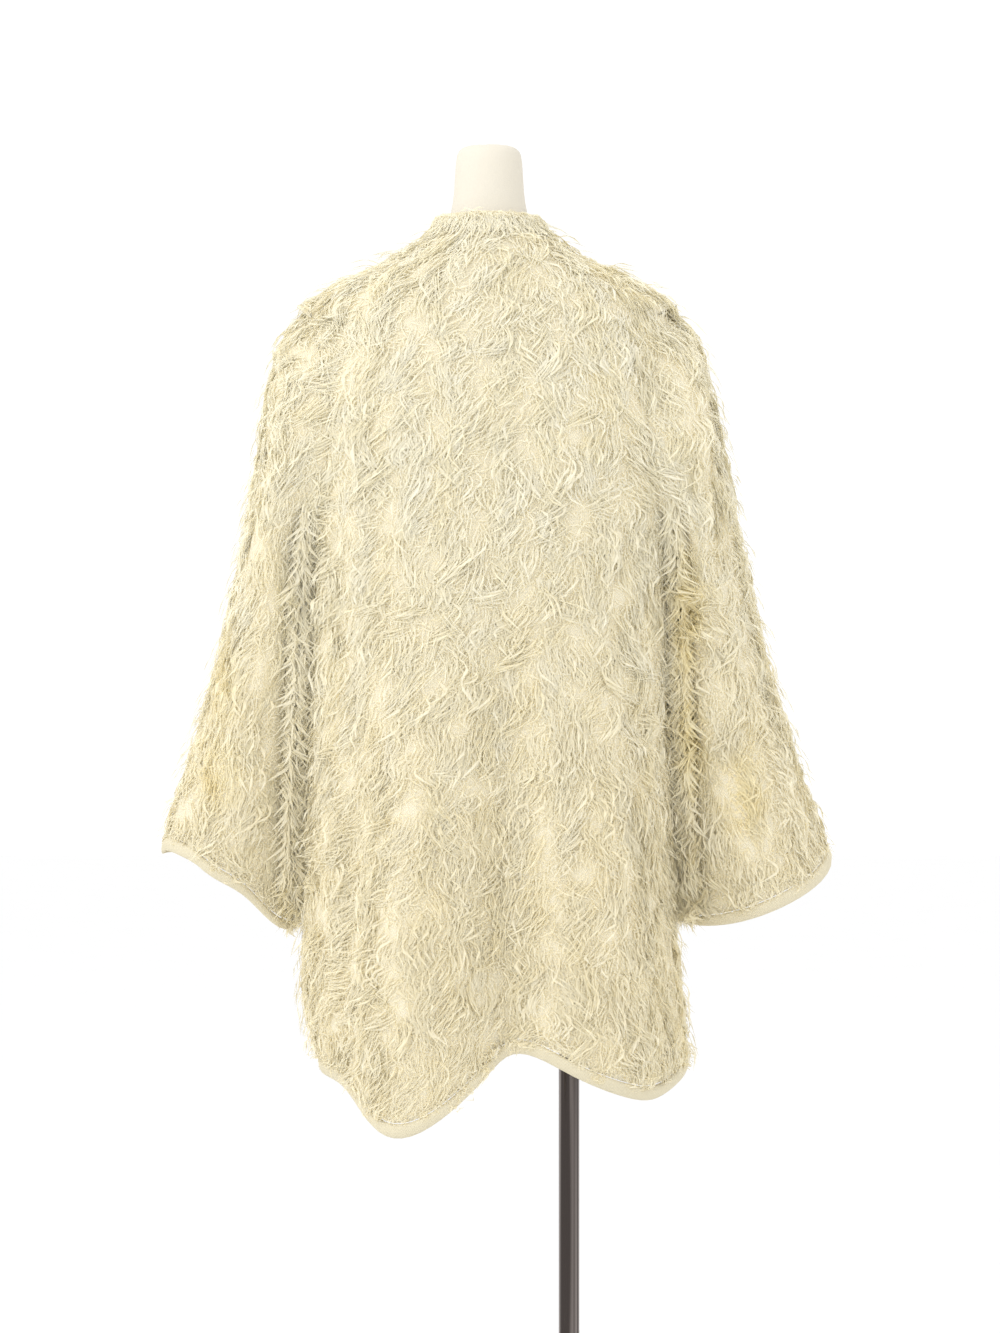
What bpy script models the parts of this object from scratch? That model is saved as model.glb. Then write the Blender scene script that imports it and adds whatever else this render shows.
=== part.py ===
"""Collarless fringe-knit jacket on a limbless dress form.

Metres, +Z up. The form's round base stands on the floor at z = 0, centred on the origin. The back
of the jacket faces +Y and the wearer's left is +X. The jacket is a hollow garment of cut panels:
one back, two fronts, two sleeves, and plain knitted bands at hem, cuffs, neck and front edges.
Each panel is a wall whose inside is the plain cloth and whose outside reaches as far as the pile.
"""

import math
from collections import defaultdict

import bmesh
import bpy
import numpy as np

# Heights of the jacket
UNDERARM_Z = 1.075
SHOULDER_Z = 1.310
NECK_Z = 1.386
NECK_DROP_FRONT = 0.067
NECK_SCOOP_POWER = 1.5
CUFF_Z = 0.715
HEM_Z = 0.615
BODY_MEAN_RADIUS = 0.130

# Cloth and bands
SEAM_GAP = 0.0003
SEAM_GROOVE = 0.0012
GROOVE_SHARE = 0.2
SEAM_CELL = 0.00002
SEAM_CELL_SHIFT = 0.37
GROUND_WALL = 0.003
PILE_LOW = 0.003
PILE_HIGH = 0.0085
PILE_MIDDLE = 0.55
PILE_SWING = 0.45
PILE_PRESSED = 0.75
CREASE_PRESSED = 0.70
PRESS_SPREAD = 0.42
PRESS_FADE = 0.07
CREASE_SPREAD = 0.60
CREASE_HEIGHT = 0.04
ROW_PITCH = 0.056
LOCK_PITCH = 0.048
CHEVRON_SLOPE = 0.55
BAND_WIDTH = 0.014
NECK_BAND_WIDTH = 0.012
BAND_WALL_EDGE = 0.0035
BAND_WALL_MIDDLE = 0.0055
BAND_WALL_SEAM = 0.005
ARMHOLE_HALF_DEPTH = 0.083
FRONT_GAP_NECK = 0.012
FRONT_GAP_HEM = 0.030

# Counts of facets
BACK_COLUMNS = 32
FRONT_COLUMNS = 14
BODY_ROWS = 17
ARMHOLE_ROWS = 10
SHOULDER_ROWS = 6
SLEEVE_ROWS = 17
FORM_COLUMNS = 32

# Inner face of the body, section by section from hem to neck: half width and depth of each ring
BODY_SECTIONS = [
    dict(z=0.540, half_width=0.165, back=0.129, front=0.120, power=2.3),
    dict(z=0.700, half_width=0.167, back=0.126, front=0.118, power=2.3),
    dict(z=0.850, half_width=0.164, back=0.122, front=0.116, power=2.3),
    dict(z=1.000, half_width=0.164, back=0.118, front=0.114, power=2.4),
    dict(z=1.075, half_width=0.165, back=0.116, front=0.115, power=2.6),
    dict(z=1.190, half_width=0.168, back=0.112, front=0.112, power=3.0),
    dict(z=1.250, half_width=0.168, back=0.105, front=0.104, power=2.9),
    dict(z=1.310, half_width=0.166, back=0.092, front=0.090, power=2.4),
    dict(z=1.334, half_width=0.130, back=0.084, front=0.083, power=2.2),
    dict(z=1.352, half_width=0.089, back=0.075, front=0.074, power=2.1),
    dict(z=1.371, half_width=0.062, back=0.061, front=0.061, power=2.0),
    dict(z=1.386, half_width=0.046, back=0.049, front=0.049, power=2.0),
    dict(z=1.400, half_width=0.040, back=0.043, front=0.043, power=2.0),
]

# Hanging folds: angle round the body (0 left side, 90 centre back), spread, depth at hem, top
BODY_FOLDS = [
    dict(angle=97, spread=13, depth=-0.021, top=1.13),
    dict(angle=62, spread=17, depth=0.022, top=1.02),
    dict(angle=137, spread=17, depth=0.013, top=1.00),
    dict(angle=30, spread=12, depth=-0.007, top=0.95),
    dict(angle=2, spread=20, depth=-0.016, top=0.69),
    dict(angle=176, spread=20, depth=0.012, top=0.74),
    dict(angle=-40, spread=15, depth=0.010, top=0.98),
    dict(angle=-64, spread=10, depth=-0.008, top=0.92),
    dict(angle=222, spread=14, depth=0.011, top=1.00),
    dict(angle=248, spread=10, depth=-0.007, top=0.90),
]

# Hem line: where it dips and rises round the body
HEM_WAVES = [
    dict(angle=60, spread=20, lift=-0.046),
    dict(angle=104, spread=17, lift=0.028),
    dict(angle=148, spread=19, lift=-0.018),
    dict(angle=270, spread=50, lift=0.013),
    dict(angle=-90, spread=50, lift=0.013),
]

# Inner face of a sleeve from armhole to cuff: outer line, underarm line, half depth
SLEEVE_SECTIONS = [
    dict(outer_x=0.166, outer_z=1.310, inner_x=0.166, inner_z=1.075, half_depth=0.083, forward=0.000),
    dict(outer_x=0.187, outer_z=1.291, inner_x=0.182, inner_z=1.072, half_depth=0.083, forward=0.000),
    dict(outer_x=0.202, outer_z=1.225, inner_x=0.182, inner_z=1.035, half_depth=0.079, forward=0.004),
    dict(outer_x=0.217, outer_z=1.150, inner_x=0.176, inner_z=0.985, half_depth=0.073, forward=0.012),
    dict(outer_x=0.2335, outer_z=1.065, inner_x=0.175, inner_z=0.925, half_depth=0.069, forward=0.016),
    dict(outer_x=0.256, outer_z=0.975, inner_x=0.175, inner_z=0.865, half_depth=0.066, forward=0.021),
    dict(outer_x=0.2805, outer_z=0.890, inner_x=0.176, inner_z=0.806, half_depth=0.063, forward=0.025),
    dict(outer_x=0.3115, outer_z=0.8105, inner_x=0.178, inner_z=0.7495, half_depth=0.060, forward=0.028),
]

# Folds down both sleeves: angle round the sleeve (0 outer line, 90 back, 180 underarm)
SLEEVE_FOLDS = [
    dict(angle=126, spread=24, depth=-0.007),
    dict(angle=78, spread=26, depth=0.004),
    dict(angle=236, spread=24, depth=-0.006),
]

# Sleeve wall near the body, in radians round the sleeve and shares of its length
SLEEVE_PRESS_SPREAD = 1.0
SLEEVE_CREASE_SPREAD = 1.3
SLEEVE_CREASE_SHARE = 0.20
ARMHOLE_BLEND_SHARE = 0.30
CUFF_STATION_LENGTH = 0.085
SWING_OUTER_DROP = 0.8
SWING_INNER_LIFT = 0.4

# How each sleeve hangs: swing outwards at the cuff, dip of the cuff behind, wave in its edge
SLEEVE_HANG = {
    "left": dict(side=1.0, swing=-0.007, back_dip=0.000, edge_wave=0.014),
    "right": dict(side=-1.0, swing=0.007, back_dip=0.021, edge_wave=0.000),
}

# Dress form: waist and hips below the shoulders, neck above them
FORM_LOWER_SECTIONS = [
    dict(z=0.700, half_width=0.130, back=0.086, front=0.082),
    dict(z=0.712, half_width=0.140, back=0.094, front=0.089),
    dict(z=0.800, half_width=0.150, back=0.100, front=0.092),
    dict(z=0.900, half_width=0.133, back=0.090, front=0.084),
    dict(z=1.000, half_width=0.116, back=0.080, front=0.080),
    dict(z=1.100, half_width=0.130, back=0.088, front=0.095),
    dict(z=1.200, half_width=0.146, back=0.094, front=0.100),
    dict(z=1.265, half_width=0.156, back=0.090, front=0.092),
    dict(z=1.298, half_width=0.1625, back=0.084, front=0.083),
]
FORM_NECK_SECTIONS = [
    dict(z=1.402, half_width=0.0350, back=0.0345, front=0.0345),
    dict(z=1.420, half_width=0.0320, back=0.0320, front=0.0320),
    dict(z=1.452, half_width=0.0310, back=0.0310, front=0.0310),
    dict(z=1.459, half_width=0.0285, back=0.0285, front=0.0285),
    dict(z=1.462, half_width=0.0230, back=0.0230, front=0.0230),
]
FORM_POWER = 2.1
FORM_LOWER_RINGS = 16
FORM_REST_GAP = 0.001
FORM_NECK_CLEARANCE = 0.005
FORM_DEPTH_CLEARANCE = 0.007

# Stand
POLE_X = -0.0736
POLE_RADIUS = 0.0095
SOCKET_RADIUS = 0.021
SOCKET_HEIGHT = 0.040
BASE_RADIUS = 0.175
BASE_THICKNESS = 0.008
BASE_EDGE = 0.002

SIDE_LEFT = 0.0
SIDE_RIGHT = math.pi
FRONT_CENTRE = -math.pi / 2
ARMHOLE_MIDDLE = (SHOULDER_Z + UNDERARM_Z) / 2
ARMHOLE_HALF_HEIGHT = (SHOULDER_Z - UNDERARM_Z) / 2


def clear_scene():
    """Start from an empty scene."""
    for item in list(bpy.data.objects):
        bpy.data.objects.remove(item, do_unlink=True)


def ease(share):
    """Smooth step from 0 to 1, flat at both ends."""
    share = np.clip(share, 0.0, 1.0)
    return share * share * (3.0 - 2.0 * share)


def bell(offset, spread):
    """Soft bump of height 1, which fades over the spread."""
    return np.exp(-((offset / spread) ** 2))


def turn_between(angle, centre):
    """Signed angle from centre to angle, the short way round."""
    return (angle - centre + math.pi) % (2.0 * math.pi) - math.pi


def smooth_column(table, key, column, at):
    """Value of a table's column at a place along its key, on a curve that never overshoots."""
    places = np.array([row[key] for row in table])
    values = np.array([row[column] for row in table])
    secants = np.diff(values) / np.diff(places)
    before, after = secants[:-1], secants[1:]
    total = before + after
    total[total == 0.0] = 1.0
    middle = np.where(before * after > 0.0, 2.0 * before * after / total, 0.0)
    slopes = np.concatenate([secants[:1], middle, secants[-1:]])
    at = np.clip(at, places[0], places[-1])
    cell = np.clip(np.searchsorted(places, at) - 1, 0, len(places) - 2)
    span = places[cell + 1] - places[cell]
    t = (at - places[cell]) / span
    start = values[cell] * (1.0 + 2.0 * t) * (1.0 - t) ** 2 + slopes[cell] * span * t * (1.0 - t) ** 2
    finish = values[cell + 1] * t * t * (3.0 - 2.0 * t) + slopes[cell + 1] * span * t * t * (t - 1.0)
    return start + finish


def body_size(column, z):
    """One column of the body's section table at height z."""
    return smooth_column(BODY_SECTIONS, "z", column, z)


def ring_radius(angle, z):
    """Distance from the axis to the body's plain ring, before its folds."""
    depth = np.where(np.sin(angle) >= 0.0, body_size("back", z), body_size("front", z))
    power = body_size("power", z)
    across = np.abs(np.cos(angle) / body_size("half_width", z)) ** power
    along = np.abs(np.sin(angle) / depth) ** power
    return (across + along) ** (-1.0 / power)


def fold_offset(angle, z):
    """How far the hanging folds push the body in or out."""
    total = np.zeros(np.broadcast(angle, z).shape)
    for fold in BODY_FOLDS:
        offset = turn_between(angle, math.radians(fold["angle"]))
        grow = ease((fold["top"] - z) / (fold["top"] - HEM_Z))
        total = total + fold["depth"] * grow * bell(offset, math.radians(fold["spread"]))
    return total


def body_point(angle, z):
    """Point of the body's inner face at an angle and a height."""
    radius = ring_radius(angle, z) + fold_offset(angle, z)
    height = np.broadcast_to(z, radius.shape)
    return np.stack([radius * np.cos(angle), radius * np.sin(angle), height], axis=-1)


def hem_height(angle):
    """Height of the hem's lower edge round the body."""
    height = np.full(np.shape(angle), HEM_Z)
    for wave in HEM_WAVES:
        offset = turn_between(angle, math.radians(wave["angle"]))
        height = height + wave["lift"] * bell(offset, math.radians(wave["spread"]))
    return height


def neckline_height(angle):
    """Height of the panels' upper edge, level behind and scooped in front."""
    front = np.clip(-np.sin(angle), 0.0, 1.0)
    return NECK_Z - NECK_DROP_FRONT * front**NECK_SCOOP_POWER


def armhole_turn(share):
    """Turn round the armhole (0 top, pi underarm), spaced evenly enough for the panels' rows."""
    return np.arccos(0.5 * np.cos(math.pi * share) + 0.5 * (1.0 - 2.0 * share))


def armhole_angle(depth_column, turn):
    """Angle from the side seam to the armhole's edge, at a turn round it (0 top, pi underarm)."""
    z = ARMHOLE_MIDDLE + ARMHOLE_HALF_HEIGHT * np.cos(turn)
    y = ARMHOLE_HALF_DEPTH * np.sin(turn)
    power = body_size("power", z)
    x = body_size("half_width", z) * (1.0 - (y / body_size(depth_column, z)) ** power) ** (1.0 / power)
    return np.arctan2(y, x)


def row_heights(angle):
    """Heights of all rows of the body at the given angles, from hem edge to neck edge."""
    hem = hem_height(angle)
    seam = hem + BAND_WIDTH
    neck = neckline_height(angle)
    rows = [hem, hem + BAND_WIDTH / 2]
    rows += [seam + (UNDERARM_Z - seam) * i / BODY_ROWS for i in range(BODY_ROWS)]
    for i in range(ARMHOLE_ROWS):
        level = ARMHOLE_MIDDLE + ARMHOLE_HALF_HEIGHT * np.cos(armhole_turn(1.0 - i / ARMHOLE_ROWS))
        rows.append(np.full(np.shape(angle), level))
    rows += [SHOULDER_Z + (neck - SHOULDER_Z) * i / SHOULDER_ROWS for i in range(SHOULDER_ROWS + 1)]
    rows += [neck + NECK_BAND_WIDTH / 2, neck + NECK_BAND_WIDTH]
    return np.array(rows)


PANEL_FIRST = 2
ARMHOLE_FIRST = PANEL_FIRST + BODY_ROWS
ARMHOLE_LAST = ARMHOLE_FIRST + ARMHOLE_ROWS
PANEL_LAST = ARMHOLE_LAST + SHOULDER_ROWS
ROW_COUNT = PANEL_LAST + 3


def side_edge(depth_column):
    """Angle from the side line to a panel's edge for each row: the armhole, and seams beyond it."""
    edge = np.zeros(ROW_COUNT)
    rows = np.arange(1, ARMHOLE_ROWS)
    edge[ARMHOLE_FIRST + rows] = armhole_angle(depth_column, armhole_turn(1.0 - rows / ARMHOLE_ROWS))
    return edge


def spread_heights(angles):
    """Heights for a grid of angles that has one row of angles for each row of the body."""
    return np.array([row_heights(angles[row])[row] for row in range(ROW_COUNT)])


def back_grid():
    """Angles and heights of the back panel's grid."""
    share = np.linspace(0.0, 1.0, BACK_COLUMNS + 1)
    edge = side_edge("back")[:, None]
    angles = SIDE_LEFT + edge + (SIDE_RIGHT - SIDE_LEFT - 2.0 * edge) * share
    return angles, spread_heights(angles)


def left_front_grid():
    """Angles and heights of the left front's grid: opening edge, band seam, then the panel."""
    centre_heights = row_heights(np.array([FRONT_CENTRE]))[:, 0]
    radius = ring_radius(FRONT_CENTRE, centre_heights)
    half_gap = np.linspace(FRONT_GAP_HEM, FRONT_GAP_NECK, ROW_COUNT) / 2
    opening = FRONT_CENTRE + half_gap / radius
    seam = FRONT_CENTRE + (half_gap + BAND_WIDTH) / radius
    side = SIDE_LEFT - side_edge("front")
    share = np.linspace(0.0, 1.0, FRONT_COLUMNS + 1)
    panel = seam[:, None] + (side - seam)[:, None] * share
    angles = np.concatenate([opening[:, None], panel], axis=1)
    return angles, spread_heights(angles)


def right_front_grid():
    """The left front's grid, mirrored across the body."""
    angles = math.pi - left_front_grid()[0][:, ::-1]
    return angles, spread_heights(angles)


def pile_height(along, up):
    """Height of the pile over the ground: staggered locks in rows that slant to a chevron."""
    row = (up + CHEVRON_SLOPE * np.abs(along)) / ROW_PITCH
    lock = along / LOCK_PITCH
    stagger = np.sin(2.0 * math.pi * row) * np.cos(2.0 * math.pi * lock)
    return PILE_LOW + (PILE_HIGH - PILE_LOW) * (PILE_MIDDLE + PILE_SWING * stagger)


def body_wall(angles, heights):
    """Wall thickness of the body's panels, thinner where a sleeve lies against the side."""
    along = turn_between(angles, math.pi / 2) * BODY_MEAN_RADIUS
    from_side = np.sin(angles)
    above_cuff = ease((heights - CUFF_Z) / PRESS_FADE)
    below_shoulder = ease((UNDERARM_Z + PRESS_FADE - heights) / PRESS_FADE)
    press = 1.0 - PILE_PRESSED * bell(from_side, PRESS_SPREAD) * above_cuff * below_shoulder
    crease = bell(from_side, CREASE_SPREAD) * bell(heights - UNDERARM_Z, CREASE_HEIGHT)
    return (GROUND_WALL + pile_height(along, heights) * press) * (1.0 - CREASE_PRESSED * crease)


def sleeve_size(column, station):
    """One column of the sleeve's section table at a station along it."""
    table = [dict(row, station=float(number)) for number, row in enumerate(SLEEVE_SECTIONS)]
    return smooth_column(table, "station", column, station)


def sleeve_grid(name):
    """Points and wall of a sleeve, ring by ring from the armhole to the cuff's edge."""
    hang = SLEEVE_HANG[name]
    last = len(SLEEVE_SECTIONS) - 1.0
    cuff_share = BAND_WIDTH / CUFF_STATION_LENGTH
    stations = np.linspace(0.0, last - cuff_share, SLEEVE_ROWS + 1)
    stations = np.append(stations, [last - cuff_share / 2, last])[:, None]
    behind = armhole_turn(np.arange(ARMHOLE_ROWS + 1) / ARMHOLE_ROWS)
    turn = np.concatenate([behind, 2.0 * math.pi - behind[-2:0:-1]])[None, :]
    share = stations / last
    swing = hang["swing"] * share
    outer_x = sleeve_size("outer_x", stations) + swing
    outer_z = sleeve_size("outer_z", stations) - SWING_OUTER_DROP * swing
    inner_x = sleeve_size("inner_x", stations)
    inner_z = sleeve_size("inner_z", stations) + SWING_INNER_LIFT * swing
    fold = np.zeros(np.broadcast(stations, turn).shape)
    for crease in SLEEVE_FOLDS:
        offset = turn_between(turn, math.radians(crease["angle"]))
        fold = fold + crease["depth"] * ease(share) * bell(offset, math.radians(crease["spread"]))
    half_width = np.hypot(outer_x - inner_x, outer_z - inner_z) / 2
    half_depth = sleeve_size("half_depth", stations)
    reach = np.cos(turn) * (1.0 + fold / half_width)
    x = (outer_x + inner_x) / 2 + (outer_x - inner_x) / 2 * reach
    z = (outer_z + inner_z) / 2 + (outer_z - inner_z) / 2 * reach
    y = half_depth * np.sin(turn) * (1.0 + fold / half_depth) - sleeve_size("forward", stations)
    z = z + share**3 * (hang["edge_wave"] * np.sin(2.0 * turn) - hang["back_dip"] * np.sin(turn))
    points = np.stack([hang["side"] * x, y, z], axis=-1)
    armhole = armhole_ring(hang["side"], turn[0])
    points = points + (armhole - points[0]) * (1.0 - ease(share / ARMHOLE_BLEND_SHARE))[..., None]
    along = turn_between(turn, math.pi / 2) * half_depth
    from_underarm = turn_between(turn, math.pi)
    pile = pile_height(along + 0.0 * stations, outer_z + 0.0 * turn)
    crease = bell(from_underarm, SLEEVE_CREASE_SPREAD) * (1.0 - ease(share / SLEEVE_CREASE_SHARE))
    press = 1.0 - PILE_PRESSED * bell(from_underarm, SLEEVE_PRESS_SPREAD)
    wall = (GROUND_WALL + pile * press) * (1.0 - CREASE_PRESSED * crease)
    return points, wall


def armhole_ring(side, turn):
    """Points of the armhole on the body, at turns from the shoulder over the back."""
    behind = np.sin(turn) >= 0.0
    away = np.where(behind, armhole_angle("back", turn % math.pi), -armhole_angle("front", -turn % math.pi))
    ends = np.isclose(np.sin(turn), 0.0)
    away = np.where(ends, 0.0, away)
    angle = away if side > 0.0 else math.pi - away
    z = ARMHOLE_MIDDLE + ARMHOLE_HALF_HEIGHT * np.cos(turn)
    return body_point(angle, z)


def grid_normals(points, closed):
    """Unit normals of a grid whose columns run round and whose rows run up."""
    if closed:
        across = np.roll(points, -1, axis=1) - np.roll(points, 1, axis=1)
    else:
        across = np.gradient(points, axis=1)
    normals = np.cross(across, np.gradient(points, axis=0))
    return normals / np.linalg.norm(normals, axis=-1, keepdims=True)


def average_at_seams(grids, fields, tubes):
    """Give points that lie on one seam the same value, so that the panels' walls meet there.

    Grids of one tube, such as the body's three panels, count together as one.
    """
    def place(point):
        return tuple(np.floor(point / SEAM_CELL + SEAM_CELL_SHIFT).astype(int))

    values = defaultdict(lambda: defaultdict(list))
    for grid, field, tube in zip(grids, fields, tubes):
        flat = grid.reshape(-1, 3)
        for point, value in zip(flat, field.reshape(len(flat), -1)):
            values[place(point)][tube].append(value)
    averaged = []
    for grid, field in zip(grids, fields):
        means = []
        for point in grid.reshape(-1, 3):
            means.append(np.mean([np.mean(seen, axis=0) for seen in values[place(point)].values()], axis=0))
        averaged.append(np.array(means).reshape(field.shape))
    return averaged


def unit(vectors):
    """Vectors scaled to length 1."""
    return vectors / np.linalg.norm(vectors, axis=-1, keepdims=True)


def boundary_loops(rows, columns, closed):
    """Point numbers along a grid's edges, each loop running round with the cloth on its left."""
    bottom = list(range(columns))
    top = [(rows - 1) * columns + column for column in reversed(range(columns))]
    if closed:
        return [bottom, top]
    right = [row * columns + columns - 1 for row in range(rows)]
    left = [row * columns for row in reversed(range(rows))]
    return [bottom + right[1:] + top[1:] + left[1:-1]]


def loop_shift(points, normals):
    """Direction into the cloth at each point of an edge loop, longer at corners like a mitre."""
    ahead = unit(np.cross(normals, np.roll(points, -1, axis=0) - points))
    behind = unit(np.cross(normals, points - np.roll(points, 1, axis=0)))
    return (ahead + behind) / (1.0 + np.sum(ahead * behind, axis=-1, keepdims=True))


def make_material(name, colour, roughness, metallic=0.0):
    """Principled material with one plain finish."""
    material = bpy.data.materials.new(name)
    material.use_nodes = True
    shader = material.node_tree.nodes["Principled BSDF"]
    shader.inputs["Base Color"].default_value = (*colour, 1.0)
    shader.inputs["Roughness"].default_value = roughness
    shader.inputs["Metallic"].default_value = metallic
    return material


def finish_object(item, material, sharp_degrees):
    """Give an object its material and smooth shading and put it with the parts."""
    item.data.materials.clear()
    item.data.materials.append(material)
    item.data.shade_smooth()
    item.data.set_sharp_from_angle(angle=math.radians(sharp_degrees))
    for group in list(item.users_collection):
        group.objects.unlink(item)
    PARTS.objects.link(item)
    return item


def loft_object(name, rings, faces, material, sharp_degrees=50.0):
    """Closed object from ring points and the faces between them."""
    mesh = bpy.data.meshes.new(name)
    mesh.from_pydata([tuple(point) for point in rings], [], faces)
    shape = bmesh.new()
    shape.from_mesh(mesh)
    bmesh.ops.recalc_face_normals(shape, faces=shape.faces)
    shape.to_mesh(mesh)
    shape.free()
    return finish_object(bpy.data.objects.new(name, mesh), material, sharp_degrees)


def grid_faces(rows, columns, closed, first):
    """Quads of a grid whose points start at index first."""
    quads = []
    for row in range(rows - 1):
        for column in range(columns if closed else columns - 1):
            beside = (column + 1) % columns
            low, high = first + row * columns, first + (row + 1) * columns
            quads.append((low + column, low + beside, high + beside, high + column))
    return quads


def rim_faces(loop, inner, outer):
    """Triangles that join an edge loop of the inner layer to the outer one.

    Each pair takes its shorter diagonal, so the two sides of a seam are cut alike and stay apart.
    """
    layer = len(inner)
    faces = []
    for a, b in zip(loop, loop[1:] + loop[:1]):
        if np.linalg.norm(inner[a] - outer[b]) < np.linalg.norm(inner[b] - outer[a]):
            faces += [(a, b, b + layer), (a, b + layer, a + layer)]
        else:
            faces += [(a, b, a + layer), (b, b + layer, a + layer)]
    return faces


def wall_object(name, points, normals, wall, material, closed=False):
    """Cloth piece: an inner grid, an outer grid a wall's thickness out, and the rim between.

    The edges move in along the cloth, so that neighbours keep a narrow gap inside their seam and
    a wider groove outside.
    """
    rows, columns = points.shape[:2]
    layer = rows * columns
    loops = boundary_loops(rows, columns, closed)
    facing = np.sign(np.sum(grid_normals(points, closed) * normals))
    points, normals = points.reshape(-1, 3), normals.reshape(-1, 3)
    shift = np.zeros_like(points)
    for loop in loops:
        shift[loop] = facing * loop_shift(points[loop], normals[loop])
    inner = points + shift * SEAM_GAP / 2
    wall = wall.reshape(-1, 1)
    groove = np.minimum(SEAM_GROOVE / 2, GROOVE_SHARE * wall)
    outer = points + normals * wall + shift * groove
    faces = grid_faces(rows, columns, closed, 0) + grid_faces(rows, columns, closed, layer)
    for loop in loops:
        faces += rim_faces(loop, inner, outer)
    return loft_object(name, np.concatenate([inner, outer]), faces, material)


def band_wall(shape):
    """Thickness of a knitted band row by row: fuller in the middle, thinner at its free edge."""
    profile = np.array([BAND_WALL_EDGE, BAND_WALL_MIDDLE, BAND_WALL_SEAM])
    return np.broadcast_to(profile[:, None], shape)


def join_columns(left, back, right, rows):
    """One strip of rows from the left front's seam round the back to the right front's seam."""
    return np.concatenate([left[rows, 1:], back[rows, 1:], right[rows, 1:-1]], axis=1)


def build_jacket():
    """All the jacket's cut pieces."""
    body = [left_front_grid(), back_grid(), right_front_grid()]
    points = [body_point(angles, heights) for angles, heights in body]
    walls = [body_wall(angles, heights) for angles, heights in body]
    normals = [grid_normals(grid, closed=False) for grid in points]
    for name, hang in SLEEVE_HANG.items():
        grid, wall = sleeve_grid(name)
        points.append(grid)
        walls.append(wall)
        normals.append(-hang["side"] * grid_normals(grid, closed=True))
    tubes = ["body", "body", "body", *SLEEVE_HANG]
    walls = average_at_seams(points, walls, tubes)
    normals = [unit(field) for field in average_at_seams(points, normals, tubes)]

    panel = slice(PANEL_FIRST, PANEL_LAST + 1)
    hem = slice(0, PANEL_FIRST + 1)
    neck = slice(PANEL_LAST, ROW_COUNT)

    wall_object("back", points[1][panel], normals[1][panel], walls[1][panel], FRINGE_KNIT)
    cuts = {"front_left": (0, slice(1, None)), "front_right": (2, slice(None, -1))}
    for name, (number, columns) in cuts.items():
        piece = (grid[number][panel, columns] for grid in (points, normals, walls))
        wall_object(name, *piece, FRINGE_KNIT)
    edges = {"front_band_left": (0, slice(0, 2)), "front_band_right": (2, slice(-2, None))}
    for name, (number, columns) in edges.items():
        strip = points[number][:, columns]
        wall = np.full(strip.shape[:2], BAND_WALL_SEAM)
        wall_object(name, strip, normals[number][:, columns], wall, KNIT_BAND)

    for name, rows, upside_down in (("hem_band", hem, False), ("neck_band", neck, True)):
        strip = join_columns(*points[:3], rows)
        wall = band_wall(strip.shape[:2])
        wall = wall[::-1] if upside_down else wall
        wall_object(name, strip, join_columns(*normals[:3], rows), wall, KNIT_BAND)

    tube = slice(0, SLEEVE_ROWS + 1)
    cuff = slice(SLEEVE_ROWS, None)
    for name, grid, direction, wall in zip(SLEEVE_HANG, points[3:], normals[3:], walls[3:]):
        wall_object("sleeve_" + name, grid[tube], direction[tube], wall[tube], FRINGE_KNIT, closed=True)
        thickness = band_wall(grid[cuff].shape[:2])[::-1]
        wall_object("cuff_band_" + name, grid[cuff], direction[cuff], thickness, KNIT_BAND, closed=True)


def form_rings():
    """Heights, half widths and depths of the form's rings, from its flat underside to the neck."""
    lower = np.linspace(FORM_LOWER_SECTIONS[0]["z"], FORM_LOWER_SECTIONS[-1]["z"], FORM_LOWER_RINGS)
    lower = np.sort(np.append(lower, FORM_LOWER_SECTIONS[1]["z"]))
    rings = []
    for z in lower:
        columns = ("half_width", "back", "front")
        rings.append((z, *(float(smooth_column(FORM_LOWER_SECTIONS, "z", name, z)) for name in columns)))
    for i in range(SHOULDER_ROWS + 1):
        share = i / SHOULDER_ROWS
        z = SHOULDER_Z + (NECK_Z - SHOULDER_Z) * share
        gap = FORM_REST_GAP + (FORM_NECK_CLEARANCE - FORM_REST_GAP) * ease(2.0 * share - 1.0)
        rings.append((
            z,
            float(body_size("half_width", z) - gap),
            float(body_size("back", z) - FORM_DEPTH_CLEARANCE),
            float(body_size("front", z) - FORM_DEPTH_CLEARANCE),
        ))
    rings += [(row["z"], row["half_width"], row["back"], row["front"]) for row in FORM_NECK_SECTIONS]
    return rings


def build_form():
    """Limbless torso with its neck, whole and smooth, just clear of the cloth at the shoulders."""
    angles = np.arange(FORM_COLUMNS) * 2.0 * math.pi / FORM_COLUMNS
    points = []
    for z, half_width, back, front in form_rings():
        depth = np.where(np.sin(angles) >= 0.0, back, front)
        across = np.abs(np.cos(angles) / half_width) ** FORM_POWER
        radius = (across + np.abs(np.sin(angles) / depth) ** FORM_POWER) ** (-1.0 / FORM_POWER)
        heights = np.full(len(angles), z)
        points.append(np.stack([radius * np.cos(angles), radius * np.sin(angles), heights], axis=-1))
    rings = np.array(points)
    count = len(rings)
    faces = grid_faces(count, FORM_COLUMNS, True, 0)
    faces.append(tuple(range(FORM_COLUMNS)))
    faces.append(tuple((count - 1) * FORM_COLUMNS + column for column in range(FORM_COLUMNS)))
    loft_object("form_torso", rings.reshape(-1, 3), faces, FORM_COVER, sharp_degrees=60.0)


def add_cylinder(name, radius, bottom, top, x, material, vertices):
    """Upright solid cylinder between two heights."""
    middle = (x, 0.0, (bottom + top) / 2)
    bpy.ops.mesh.primitive_cylinder_add(vertices=vertices, radius=radius, depth=top - bottom, location=middle)
    item = bpy.context.object
    item.name = name
    item.data.name = name
    return finish_object(item, material, 40.0)


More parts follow.
